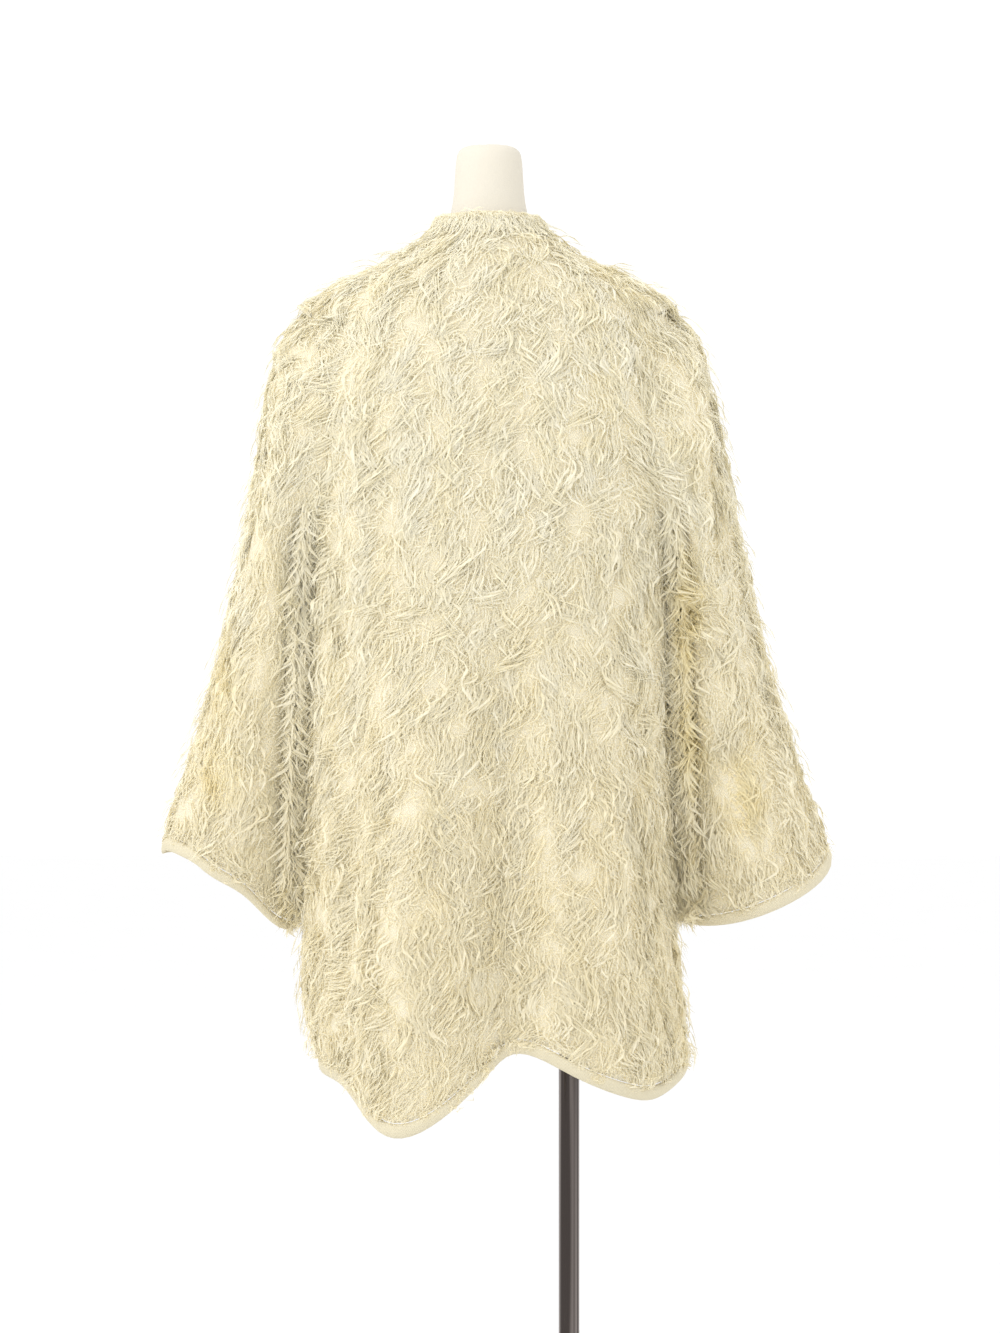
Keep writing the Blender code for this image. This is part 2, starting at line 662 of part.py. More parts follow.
def build_stand():
    """Weighted round base, off-centre pole, and the socket under the form."""
    form_underside = FORM_LOWER_SECTIONS[0]["z"]
    socket_top = form_underside - SEAM_GAP
    socket_bottom = socket_top - SOCKET_HEIGHT
    base = add_cylinder("stand_base", BASE_RADIUS, 0.0, BASE_THICKNESS, 0.0, STAND_METAL, 64)
    edge = base.modifiers.new("rounded edge", "BEVEL")
    edge.width = BASE_EDGE
    edge.segments = 2
    edge.angle_limit = math.radians(60.0)
    pole_bottom = BASE_THICKNESS + SEAM_GAP
    add_cylinder("stand_pole", POLE_RADIUS, pole_bottom, socket_bottom - SEAM_GAP, POLE_X, STAND_METAL, 24)
    add_cylinder("stand_socket", SOCKET_RADIUS, socket_bottom, socket_top, POLE_X, STAND_METAL, 24)


clear_scene()
PARTS = bpy.data.collections.new("collarless_jacket_on_dress_form")
bpy.context.scene.collection.children.link(PARTS)
FRINGE_KNIT = make_material("fringe_knit", (0.86, 0.79, 0.60), 0.85)
KNIT_BAND = make_material("knit_band", (0.80, 0.72, 0.54), 0.85)
FORM_COVER = make_material("form_cover", (0.90, 0.86, 0.76), 0.55)
STAND_METAL = make_material("stand_metal", (0.16, 0.15, 0.15), 0.25, metallic=1.0)
build_jacket()
build_form()
build_stand()
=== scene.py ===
# %% [markdown]
# # A collarless fringe-knit jacket on a dress form
#
# The CAD frame gives the jacket's cut pieces as plain walls, with the form and its stand. This lesson
# dresses them. The inside face of each wall becomes a thin knitted cloth, and locks of fringe yarn grow
# from it about as far as the wall's outside. Plain knitted edges, a smooth form and a dark metal stand
# follow.

# %% Load the frame
import math

import bmesh
import bpy
import numpy as np
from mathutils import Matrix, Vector
from mathutils.bvhtree import BVHTree


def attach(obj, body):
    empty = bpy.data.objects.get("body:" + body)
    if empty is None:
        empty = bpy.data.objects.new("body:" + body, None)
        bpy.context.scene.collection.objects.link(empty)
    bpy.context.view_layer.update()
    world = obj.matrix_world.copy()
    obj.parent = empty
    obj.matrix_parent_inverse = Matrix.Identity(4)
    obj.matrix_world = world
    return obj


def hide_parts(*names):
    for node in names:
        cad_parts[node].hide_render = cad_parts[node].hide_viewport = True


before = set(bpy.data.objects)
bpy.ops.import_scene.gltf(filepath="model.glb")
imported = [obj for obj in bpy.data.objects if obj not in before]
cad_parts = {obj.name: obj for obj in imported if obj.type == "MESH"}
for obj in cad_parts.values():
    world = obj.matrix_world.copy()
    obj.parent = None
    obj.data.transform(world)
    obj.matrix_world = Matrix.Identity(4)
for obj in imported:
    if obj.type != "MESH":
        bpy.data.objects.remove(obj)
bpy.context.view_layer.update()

# %% [markdown]
# ## Writing a finish
#
# A material is a tree of nodes. Adding each Math node by hand makes long scripts, so one small class
# wraps a socket and turns ordinary sums into Math nodes. Every other node comes from one method, which
# takes its type, its settings and what its sockets hold.

# %% Finishes as sums
class Tone:
    """A value in a finish's node tree. A sum written with it adds Math nodes."""

    def __init__(self, finish, socket):
        self.finish = finish
        self.socket = socket

    def sum(self, operation, first, second=0.0):
        return self.finish.node("ShaderNodeMath", {"operation": operation}, {0: first, 1: second})

    def __add__(self, other):
        return self.sum("ADD", self, other)

    def __sub__(self, other):
        return self.sum("SUBTRACT", self, other)

    def __rsub__(self, other):
        return self.sum("SUBTRACT", other, self)

    def __mul__(self, other):
        return self.sum("MULTIPLY", self, other)

    def __truediv__(self, other):
        return self.sum("DIVIDE", self, other)

    __radd__ = __add__
    __rmul__ = __mul__


class Finish:
    """A material with one Principled shader, whose nodes all come from the node method."""

    def __init__(self, name, **constants):
        self.material = bpy.data.materials.new(name)
        self.material.use_nodes = True
        self.tree = self.material.node_tree
        self.shader = self.tree.nodes["Principled BSDF"]
        for socket, value in constants.items():
            self.shader.inputs[socket.replace("_", " ")].default_value = value

    def node(self, kind, settings, sockets, output=0):
        made = self.tree.nodes.new(kind)
        for name, value in settings.items():
            setattr(made, name, value)
        for key, value in sockets.items():
            if isinstance(value, Tone):
                self.tree.links.new(value.socket, made.inputs[key])
            else:
                made.inputs[key].default_value = value
        return Tone(self, made.outputs[output])

    def feed(self, socket, tone):
        self.tree.links.new(tone.socket, self.shader.inputs[socket])

    def place(self):
        return self.node("ShaderNodeTexCoord", {}, {}, "Object")

    def noise(self, where, scale, detail=2.0):
        return self.node("ShaderNodeTexNoise", {}, {"Vector": where, "Scale": scale, "Detail": detail})

    def attribute(self, name):
        return self.node("ShaderNodeAttribute", {"attribute_name": name}, {}, "Fac")

    def step(self, value, low, high):
        settings = {"interpolation_type": "SMOOTHSTEP"}
        return self.node("ShaderNodeMapRange", settings, {0: value, 1: low, 2: high})

    def mix(self, share, first, second):
        settings = {"data_type": "RGBA"}
        return self.node("ShaderNodeMix", settings, {0: share, 6: first, 7: second}, 2)

    def bump(self, height, distance, strength=1.0):
        sockets = {"Height": height, "Distance": distance, "Strength": strength}
        self.feed("Normal", self.node("ShaderNodeBump", {}, sockets))


# %% [markdown]
# ## The camera
#
# The photograph looks level at the jacket's back from about three metres. A camera could be framed by
# eye, but the pole and the form give enough to work out its place, so the numbers are set directly.

# %% Camera
CAMERA_PLACE = (-0.0101, 3.0, 0.985)
CAMERA_LENS = 88.07

lens = bpy.data.cameras.new("camera")
lens.lens = CAMERA_LENS
camera = bpy.data.objects.new("camera", lens)
camera.location = CAMERA_PLACE
camera.rotation_euler = (math.radians(90.0), 0.0, math.radians(180.0))
bpy.context.scene.collection.objects.link(camera)
bpy.context.scene.camera = camera
print("camera", CAMERA_PLACE, "lens", CAMERA_LENS)

# %% [markdown]
# ## The studio
#
# The jacket stands in a white room. A white world lights it evenly from all round and shows as the bright
# background, and one large soft light, high up to the left on the camera's side, makes the shoulders a
# little brighter than the hem. The floor is one large pale plane. Light has to bounce often between pale
# strands and to pass many of them, so both limits are set here.

# %% Floor, world and light
def link(piece):
    bpy.context.scene.collection.objects.link(piece)
    return piece


def from_bmesh(name, shape):
    """A new object from a bmesh, which is freed."""
    mesh = bpy.data.meshes.new(name)
    shape.to_mesh(mesh)
    shape.free()
    return link(bpy.data.objects.new(name, mesh))


FLOOR_HALF = 14.0
FLOOR_GRAIN = 6.0
WORLD_STRENGTH = 1.06
KEY_SIZE = (2.4, 1.6)
KEY_WATTS = 25.0
KEY_PLACE = (1.5, 1.5, 2.8)
KEY_AIM = Vector((0.0, 0.0, 1.1))
DIFFUSE_BOUNCES = 5
ALL_BOUNCES = 7
STRANDS_PASSED = 20

floor_shape = bmesh.new()
bmesh.ops.create_grid(floor_shape, x_segments=1, y_segments=1, size=FLOOR_HALF)
floor = from_bmesh("floor", floor_shape)
floor_paint = Finish("floor_paint", Roughness=0.9)
grain = floor_paint.noise(floor_paint.place(), FLOOR_GRAIN)
floor_paint.feed("Base Color", floor_paint.mix(grain, (0.93, 0.93, 0.93, 1.0), (0.95, 0.95, 0.95, 1.0)))
floor.data.materials.append(floor_paint.material)

room = bpy.data.worlds.new("white_room")
room.use_nodes = True
room.node_tree.nodes["Background"].inputs["Color"].default_value = (1.0, 1.0, 1.0, 1.0)
room.node_tree.nodes["Background"].inputs["Strength"].default_value = WORLD_STRENGTH
bpy.context.scene.world = room

key = bpy.data.lights.new("softbox", "AREA")
key.shape = "RECTANGLE"
key.size, key.size_y = KEY_SIZE
key.energy = KEY_WATTS
softbox = link(bpy.data.objects.new("softbox", key))
softbox.location = KEY_PLACE
softbox.rotation_euler = (KEY_AIM - softbox.location).to_track_quat("-Z", "Y").to_euler()

bpy.context.scene.view_settings.view_transform = "Standard"
bpy.context.scene.cycles.diffuse_bounces = DIFFUSE_BOUNCES
bpy.context.scene.cycles.max_bounces = ALL_BOUNCES
bpy.context.scene.cycles.transparent_max_bounces = STRANDS_PASSED
print("studio", floor.name, room.name, softbox.name)

# %% [markdown]
# ## Cream yarn
#
# The fringe is a matt cream yarn. Light bounces from strand to strand and comes out yellower from the
# depths, so the yarn's own colour is only a pale cream and the render adds most of the rest. Each strand
# carries two attributes: its own tone, and how far along it a point lies. Both change the colour a little:
# the tone at random, and the place along it as painted shade, darker and yellower towards the root. The
# colour is painted the same way darker and yellower towards the hem and lighter towards the shoulders, and
# painted bounce light makes yellow patches in the slits beside the sleeves and on the sleeves. A strand
# stands for a bunch of much finer fibres, so it is half see-through, which softens the shadows.

# %% Fringe yarn
BUNCH_COVER = 0.5
HEM_HEIGHT = 0.68
SHOULDER_HEIGHT = 1.26
HEIGHT_SHARE = 0.6
ALONG_SHARE = 0.4
# Shaded and lit copies of the cream, each in two tones: painted shade and painted light.
PAINTED_SHADE_CREAM = ((0.944, 0.863, 0.625, 1.0), (0.962, 0.893, 0.685, 1.0))
PAINTED_LIT_CREAM = ((0.986, 0.936, 0.750, 1.0), (0.995, 0.962, 0.828, 1.0))
GLOW_CREAM = ((0.972, 0.852, 0.490, 1.0), (0.982, 0.885, 0.570, 1.0))
PATCH_SCALE = 60.0
PATCH_UNEVEN = 0.7
# Spots of painted bounce light: a yellow glow where light bounces between body and sleeves and passes
# through the sleeves' fringe.
PAINTED_GLOW_SPOTS = [
    # middle x, y, z and reach in x, y, z, in metres, and strength
    ((-0.180, 0.030, 1.030), (0.026, 0.080, 0.120), 1.0),
    ((-0.184, 0.030, 0.920), (0.022, 0.080, 0.090), 0.8),
    ((-0.232, 0.030, 0.866), (0.034, 0.090, 0.080), 0.7),
    ((0.240, 0.030, 0.965), (0.026, 0.090, 0.060), 0.5),
    ((0.246, 0.030, 0.885), (0.030, 0.090, 0.060), 0.6),
]


def painted_glow(finish):
    """A share from nought to one of painted bounce light: a yellow glow in the slits beside the sleeves and
    on the sleeves.
    """
    where = finish.place()
    uneven = finish.noise(where, PATCH_SCALE) * PATCH_UNEVEN
    most = None
    for middle, reach, strength in PAINTED_GLOW_SPOTS:
        off = finish.node("ShaderNodeVectorMath", {"operation": "SUBTRACT"}, {0: where, 1: middle})
        off = finish.node("ShaderNodeVectorMath", {"operation": "DIVIDE"}, {0: off, 1: reach})
        far = finish.node("ShaderNodeVectorMath", {"operation": "LENGTH"}, {0: off}, "Value")
        spot = (1.0 - finish.step(far + uneven - PATCH_UNEVEN / 2.0, 0.0, 1.0)) * strength
        most = spot if most is None else most.sum("MAXIMUM", most, spot)
    return most


yarn = Finish("fringe_yarn", Roughness=0.8, Specular_IOR_Level=0.2, Alpha=BUNCH_COVER)
along = yarn.attribute("strand_along")
own = yarn.attribute("strand_tone")
height = yarn.node("ShaderNodeSeparateXYZ", {}, {0: yarn.place()}, "Z")
# Painted shade and light: the yarn is painted darker and yellower low down towards the hem and near each
# strand's root, and lighter towards the shoulders and the tips.
painted_light_share = yarn.step(height, HEM_HEIGHT, SHOULDER_HEIGHT) * HEIGHT_SHARE + along * ALONG_SHARE
shaded_cream = yarn.mix(own, *PAINTED_SHADE_CREAM)
lit_cream = yarn.mix(own, *PAINTED_LIT_CREAM)
cream = yarn.mix(painted_light_share, shaded_cream, lit_cream)
# The yellower cream of the painted bounce light.
glow_cream = yarn.mix(own, *GLOW_CREAM)
yarn.feed("Base Color", yarn.mix(painted_glow(yarn), cream, glow_cream))
yarn.feed("Roughness", 0.7 + own * 0.2)
print("finish", yarn.material.name)

# %% [markdown]
# ## Knitted ground
#
# Under the fringe lies a plain knit, and the edges are the same knit with no fringe. Each stitch is a
# small V. Real loops would need millions of faces, so the V is a height pattern: rows that shift with the
# distance from the stitch's middle. It reads the cloth's own UV map, which is in metres.

# %% Ground knit and edge knit
STITCH_WIDE = 0.0038
STITCH_TALL = 0.0031
STITCH_SLANT = 0.9
STITCH_BUMP = 0.0005
FUZZ_SCALE = 900.0


def knit_finish(name, shaded_hollow, lit_crest):
    """A knit of V stitches between two colours, painted darker in the stitch hollows as shade."""
    knit = Finish(name, Roughness=0.85)
    map_of = knit.node("ShaderNodeUVMap", {"uv_map": "cloth"}, {})
    parts = [knit.node("ShaderNodeSeparateXYZ", {}, {0: map_of}, axis) for axis in ("X", "Y")]
    across = (parts[0] / STITCH_WIDE).sum("FRACT", parts[0] / STITCH_WIDE)
    off_middle = across.sum("ABSOLUTE", across - 0.5)
    climb = parts[1] / STITCH_TALL + off_middle * (2.0 * STITCH_SLANT)
    wave = climb.sum("SINE", climb * (2.0 * math.pi))
    leg = off_middle.sum("SINE", off_middle * (2.0 * math.pi))
    height = (wave * 0.5 + 0.5) * (leg * 0.6 + 0.4)
    fuzz = knit.noise(knit.place(), FUZZ_SCALE, 3.0)
    # Painted shade: the colour is darker in the hollows of the height pattern. The fuzz adds random tone.
    knit.feed("Base Color", knit.mix(height * 0.8 + fuzz * 0.2, shaded_hollow, lit_crest))
    knit.feed("Roughness", 0.9 - height * 0.15)
    knit.bump(height + fuzz * 0.3, STITCH_BUMP)
    return knit


ground_knit = knit_finish("ground_knit", (0.86, 0.77, 0.54, 1.0), (0.97, 0.92, 0.76, 1.0))
edge_knit = knit_finish("edge_knit", (0.77, 0.69, 0.48, 1.0), (0.88, 0.81, 0.62, 1.0))
print("finishes", ground_knit.material.name, edge_knit.material.name)

# %% [markdown]
# ## Finding the cloth in a wall
#
# Each CAD panel is a wall: a smooth inside, a lumpy outside, and rims. The cloth is the inside. A
# copy of the wall is merged, and only faces that look towards the middle of the body or the sleeve are
# kept and turned round. That keeps the folds that the solids have.

# %% Body and sleeve middles
BODY_TOP_CENTRE = 1.17
SLEEVE_LINE = [
    (0.166, 0.000, 1.190),
    (0.192, -0.004, 1.130),
    (0.204, -0.016, 0.995),
    (0.228, -0.025, 0.848),
    (0.262, -0.030, 0.700),
]


def body_middle(point):
    """The point of the body's axis that lies behind a point of its cloth."""
    return Vector((0.0, 0.0, min(point.z, BODY_TOP_CENTRE)))


def sleeve_middle(side):
    """A function that gives the nearest point of a sleeve's middle line."""
    line = [Vector((side * x, y, z)) for x, y, z in SLEEVE_LINE]

    def nearest(point):
        best = None
        for start, end in zip(line, line[1:]):
            run = end - start
            share = min(max((point - start).dot(run) / run.length_squared, 0.0), 1.0)
            there = start + run * share
            if best is None or (point - there).length < (point - best).length:
                best = there
        return best

    return nearest


# %% Cloth grids
MERGE = 0.00002
FACING_IN = -0.35
CLOTH_FOLD = 0.9
QUAD_SKEW = 1.2


def to_quads(shape, fold):
    """Join triangles in pairs, where the fold between them is small enough."""
    bmesh.ops.join_triangles(
        shape, faces=shape.faces, angle_face_threshold=fold, angle_shape_threshold=QUAD_SKEW
    )


def cloth_grid(node, middle):
    """The inside of a CAD wall, turned to face out."""
    cloth = bmesh.new()
    cloth.from_mesh(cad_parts[node].data)
    bmesh.ops.remove_doubles(cloth, verts=cloth.verts, dist=MERGE)
    away = []
    for face in cloth.faces:
        centre = face.calc_center_median()
        if face.normal.dot((centre - middle(centre)).normalized()) > FACING_IN:
            away.append(face)
    bmesh.ops.delete(cloth, geom=away, context="FACES")
    bmesh.ops.reverse_faces(cloth, faces=cloth.faces)
    to_quads(cloth, CLOTH_FOLD)
    return cloth


# %% [markdown]
# ## Where a point lies on the cloth
#
# Knit and fringe follow the cloth, not the room, so each point needs a place on the flat cut: how far
# round from the centre back and how far up. On the body that is the angle round the axis times a mean
# radius, and on a sleeve the angle round its middle line.

# %% Places on the cut
BODY_RADIUS = 0.14
SLEEVE_RADIUS = 0.065
SHOULDER_START = 1.31
SHOULDER_STRETCH = 0.9


def body_place(points):
    """Metres round from the centre back, and metres up, for points of the body."""
    turn = np.arctan2(points[:, 1], points[:, 0]) - math.pi / 2
    turn = (turn + math.pi) % (2.0 * math.pi) - math.pi
    extra = SHOULDER_STRETCH * np.cos(turn + math.pi / 2) ** 2
    up = points[:, 2] + extra * np.maximum(points[:, 2] - SHOULDER_START, 0.0)
    return np.stack([turn * BODY_RADIUS, up], axis=1)


def sleeve_place(side):
    """A function like body_place for one sleeve, measured from the sleeve's back."""
    middle = sleeve_middle(side)

    def place(points):
        centres = np.array([middle(Vector(point)) for point in points])
        off = points - centres
        turn = np.arctan2(off[:, 1], off[:, 0]) - math.pi / 2
        turn = (turn + math.pi) % (2.0 * math.pi) - math.pi
        return np.stack([turn * SLEEVE_RADIUS, points[:, 2]], axis=1)

    return place


# %% Mesh helpers
def vertex_array(mesh, name="co"):
    """A mesh's points, or its normals, as rows of three."""
    values = np.zeros(len(mesh.vertices) * 3)
    mesh.vertices.foreach_get(name, values)
    return values.reshape(-1, 3)


def subdivided(piece, levels):
    """Give a piece its subdivided mesh for good."""
    smooth = piece.modifiers.new("soft form", "SUBSURF")
    smooth.levels = smooth.render_levels = levels
    smooth.boundary_smooth = "PRESERVE_CORNERS"
    graph = bpy.context.evaluated_depsgraph_get()
    finished = bpy.data.meshes.new_from_object(piece.evaluated_get(graph))
    piece.modifiers.clear()
    piece.data = finished
    return piece


def add_cloth_map(piece, place):
    """A UV map in metres of the flat cut."""
    mesh = piece.data
    flat = place(vertex_array(mesh))
    corners = np.zeros(len(mesh.loops), dtype=int)
    mesh.loops.foreach_get("vertex_index", corners)
    cloth_map = mesh.uv_layers.new(name="cloth")
    cloth_map.data.foreach_set("uv", flat[corners].ravel())


# %% [markdown]
# ## Creases and the left cuff
#
# Worn cloth hangs in long soft creases, and the left cuff's edge waves. A cloth simulation would give
# other creases at each try, so these are given one by one: each is a line on the cut, along which the cloth
# moves out or in. The cuff's cloth and its band move up and down together.

# %% Left cuff
CUFF_FAR_RISE = 0.024
CUFF_FAR = (-0.015, -0.065)
CUFF_REACH = (0.92, 0.76)
CUFF_WAVE = 0.011
CUFF_CREST = 0.222
CUFF_CREST_HALF = 0.04
CUFF_CORNER = (0.262, 0.295)


def ease(value, start, end):
    """A smooth step from nought at the start to one at the end."""
    share = np.clip((value - start) / (end - start), 0.0, 1.0)
    return share * share * (3.0 - 2.0 * share)


def shape_left_cuff(piece):
    """Wave the left cuff's edge: up near the body, down at the far corner, its front a little higher."""
    points = vertex_array(piece.data)
    rise = CUFF_FAR_RISE * ease(points[:, 1], *CUFF_FAR)
    off_crest = np.abs(points[:, 0] - CUFF_CREST)
    rise = rise + CUFF_WAVE * (1.0 - ease(off_crest, 0.0, CUFF_CREST_HALF))
    rise = rise - CUFF_WAVE * ease(points[:, 0], *CUFF_CORNER)
    points[:, 2] += rise * ease(points[:, 2], *CUFF_REACH)
    piece.data.vertices.foreach_set("co", points.ravel())
    piece.data.update()


# %% Creases
CREASE_FADE = 0.7
CREASES = {
    # round and up at the start, round and up at the end, width, and height outwards
    "back": [
        (-0.070, 0.960, -0.083, 0.660, 0.022, 0.0070),
        (0.106, 0.920, 0.115, 0.690, 0.026, 0.0080),
        (0.014, 1.080, 0.018, 0.720, 0.018, -0.0035),
        (-0.028, 1.010, -0.036, 0.800, 0.013, 0.0030),
        (0.056, 0.985, 0.064, 0.740, 0.012, 0.0036),
        (-0.122, 0.985, -0.130, 0.730, 0.015, -0.0040),
        (-0.104, 1.210, -0.052, 1.060, 0.020, 0.0030),
        (0.092, 1.225, 0.058, 1.100, 0.023, 0.0026),
    ],
    "front_left": [
        (-0.296, 0.960, -0.310, 0.720, 0.020, 0.0065),
        (-0.366, 1.060, -0.374, 0.800, 0.015, 0.0040),
        (-0.336, 0.990, -0.344, 0.700, 0.014, -0.0030),
    ],
    "front_right": [
        (0.288, 0.925, 0.306, 0.700, 0.023, 0.0060),
        (0.352, 1.100, 0.368, 0.860, 0.013, 0.0036),
        (0.330, 0.960, 0.338, 0.720, 0.017, -0.0030),
    ],
    "sleeve_left": [
        (0.030, 1.070, -0.022, 1.000, 0.011, -0.0036),
        (-0.048, 1.030, 0.006, 0.950, 0.014, 0.0040),
        (-0.060, 0.960, -0.066, 0.850, 0.017, 0.0048),
        (0.010, 0.925, 0.016, 0.820, 0.013, 0.0030),
        (-0.150, 1.000, -0.140, 0.880, 0.016, 0.0040),
    ],
    "sleeve_right": [
        (-0.034, 1.055, 0.018, 0.990, 0.012, -0.0032),
        (0.052, 1.010, 0.000, 0.925, 0.015, 0.0044),
        (0.064, 0.940, 0.058, 0.830, 0.015, 0.0050),
        (-0.008, 0.960, -0.018, 0.840, 0.012, 0.0028),
        (0.146, 0.980, 0.152, 0.850, 0.018, 0.0038),
    ],
}


def crease(piece, place, rows):
    """Move cloth out or in along soft lines on its cut, most in their middle and less at both ends."""
    points = vertex_array(piece.data)
    flat = place(points)
    out = np.zeros(len(points))
    for start_round, start_up, end_round, end_up, width, height in rows:
        start = np.array([start_round, start_up])
        run = np.array([end_round, end_up]) - start
        share = np.clip((flat - start) @ run / (run @ run), 0.0, 1.0)
        away = np.linalg.norm(flat - start - share[:, None] * run, axis=1)
        fade = 1.0 - CREASE_FADE * (2.0 * share - 1.0) ** 2
        out += height * np.exp(-((away / width) ** 2)) * fade
    points += vertex_array(piece.data, "normal") * out[:, None]
    piece.data.vertices.foreach_set("co", points.ravel())
    piece.data.update()


# %% [markdown]
# ## The knitted panels
#
# The jacket is cut as a back, two fronts and two sleeves. Each panel is its wall's inside, subdivided
# once, creased and given a thin thickness, so that it is cloth from both sides.

# %% Cloth pieces
CLOTH_THICK = 0.0026


def cloth_piece(name, node, middle, place):
    """The knitted ground of one cut piece, with a little thickness outwards."""
    piece = subdivided(from_bmesh(name, cloth_grid(node, middle)), 1)
    crease(piece, place, CREASES[node])
    if node == "sleeve_left":
        shape_left_cuff(piece)
    add_cloth_map(piece, place)
    piece.data.materials.clear()
    piece.data.materials.append(ground_knit.material)
    piece.data.shade_smooth()
    wall = piece.modifiers.new("cloth thickness", "SOLIDIFY")
    wall.thickness = CLOTH_THICK
    wall.offset = 1.0
    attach(piece, "root")
    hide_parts(node)
    area = sum(face.area for face in piece.data.polygons)
    print(name, len(piece.data.polygons), "faces", round(area, 4), "square metres")
    return piece


PANELS = {
    "back": (body_middle, body_place),
    "front_left": (body_middle, body_place),
    "front_right": (body_middle, body_place),
    "sleeve_left": (sleeve_middle(1.0), sleeve_place(1.0)),
    "sleeve_right": (sleeve_middle(-1.0), sleeve_place(-1.0)),
}
cloth = {node: cloth_piece(node + "_cloth", node, *ways) for node, ways in PANELS.items()}

# %% [markdown]
# ## Locks of fringe
#
# The fringe hangs in locks of fifteen to twenty strands, spread over the knit, with short loose strands
# between them. The locks turn outwards from the middle, drift from patch to patch and stop at the plain
# edges. A hair system would not survive export, so each strand is a small closed blade that curves from
# root to tip. All strands of a panel are worked out together as arrays: where they root, how they hang,
# and how far off the cloth they stand.

# %% Points on the cloth
EDGE_STEPS = 24
PAST_LEAST = 0.001
HANG_SHARE = 0.7


def unit(vectors):
    return vectors / np.linalg.norm(vectors, axis=-1, keepdims=True)


class Ground:
    """Cloth as arrays of points, normals and triangles, to scatter roots on and measure height over."""

    def __init__(self, points, normals, triangles):
        self.points = points
        self.normals = normals
        self.triangles = triangles
        corners = points[triangles]
        sides = np.cross(corners[:, 1] - corners[:, 0], corners[:, 2] - corners[:, 0])
        self.areas = np.linalg.norm(sides, axis=1) / 2
        self.tree = BVHTree.FromPolygons(points.tolist(), triangles.tolist())

    @classmethod
    def of(cls, piece, thick):
        """The ground of a piece whose mesh is moved out by a thickness."""
        mesh = piece.data
        mesh.calc_loop_triangles()
        triangles = np.zeros(len(mesh.loop_triangles) * 3, dtype=int)
        mesh.loop_triangles.foreach_get("vertices", triangles)
        normals = vertex_array(mesh, "normal")
        return cls(vertex_array(mesh) + normals * thick, normals, triangles.reshape(-1, 3))

    @classmethod
    def joined(cls, grounds):
        """Several grounds as one."""
        starts = np.cumsum([0] + [len(ground.points) for ground in grounds[:-1]])
        return cls(
            np.concatenate([ground.points for ground in grounds]),
            np.concatenate([ground.normals for ground in grounds]),
            np.concatenate([ground.triangles + start for ground, start in zip(grounds, starts)]),
        )

    def scatter(self, count, chance):
        """Random points, even over the cloth, with their normals."""
        chosen = chance.choice(len(self.areas), size=count, p=self.areas / self.areas.sum())
        first, second = chance.random((2, count, 1))
        fold = first + second > 1.0
        first, second = np.where(fold, 1.0 - first, first), np.where(fold, 1.0 - second, second)
        shares = np.concatenate([1.0 - first - second, first, second], axis=1)[:, :, None]
        points = (self.points[self.triangles[chosen]] * shares).sum(axis=1)
        normals = (self.normals[self.triangles[chosen]] * shares).sum(axis=1)
        return points, unit(normals)

    def above_edge(self, points, place):
        """How far each point is above the lower edge of its cloth."""
        flat = place(self.points)
        around = np.linspace(flat[:, 0].min(), flat[:, 0].max(), EDGE_STEPS)
        nearest = np.abs(flat[:, :1] - around).argmin(axis=1)
        lowest = np.array([flat[nearest == step, 1].min() for step in range(EDGE_STEPS)])
        here = place(points)
        return here[:, 1] - np.interp(here[:, 0], around, lowest)

    def gap(self, points, normals, most):
        """How far off this cloth lies along each normal, or the most."""
        gaps = np.full(len(points), most)
        for number, (point, normal) in enumerate(zip(points, normals)):
            found = self.tree.ray_cast(Vector(point), Vector(normal), most)[3]
            if found is not None:
                gaps[number] = found
        return gaps

    def lift(self, points, heights):
        """Points moved to stand at the given heights over the cloth. Past its edge they hang down."""
        moved = points.copy()
        for number, point in enumerate(points):
            there, normal, _, _ = self.tree.find_nearest(Vector(point))
            off = Vector(point) - there
            past = off - normal * off.dot(normal)
            drop = Vector((0.0, 0.0, -past.length)) if past.length > PAST_LEAST else past
            moved[number] = there + normal * heights[number] + past.lerp(drop, HANG_SHARE)
        return moved


# %% Places for locks
LOCK_SPACING = 0.0125
TRIES_PER_AREA = 60000
BARE_LEVEL = 1.6
BARE_WAVES = [(97.0, 31.0, 0.0), (-43.0, 113.0, 1.7), (61.0, -83.0, 0.6)]


def covered(flat):
    """Which places on the cut have fringe. Three crossing waves leave a few small bare spots."""
    wave = np.zeros(len(flat))
    for across, up, phase in BARE_WAVES:
        wave += np.sin(across * flat[:, 0] + up * flat[:, 1] + phase)
    return wave < BARE_LEVEL


def lock_centres(ground, place, chance):
    """Random places for locks, never closer than the spacing and never on a bare spot."""
    points, normals = ground.scatter(int(ground.areas.sum() * TRIES_PER_AREA), chance)
    rooted = covered(place(points))
    points, normals = points[rooted], normals[rooted]
    cells = np.floor(points / LOCK_SPACING).astype(int)
    steps = [(x, y, z) for x in (-1, 0, 1) for y in (-1, 0, 1) for z in (-1, 0, 1)]
    taken = {}
    kept = []
    for number, (point, cell) in enumerate(zip(points, cells)):
        beside = [other for step in steps for other in taken.get(tuple(cell + step), [])]
        if all(np.linalg.norm(points[other] - point) > LOCK_SPACING for other in beside):
            taken.setdefault(tuple(cell), []).append(number)
            kept.append(number)
    return points[kept], normals[kept]


# %% How locks lean
BODY_LEAN = -11.0
BODY_LEAN_TURN = 140.0
BODY_LEAN_MOST = (-28.0, 14.0)
SLEEVE_LEAN = math.radians(12.0)
DRIFT_SLANT = 0.36
DRIFT_WIDE = (0.035, 0.070)
DRIFT_TALL = (0.070, 0.160)
DRIFT_WAVES = 5


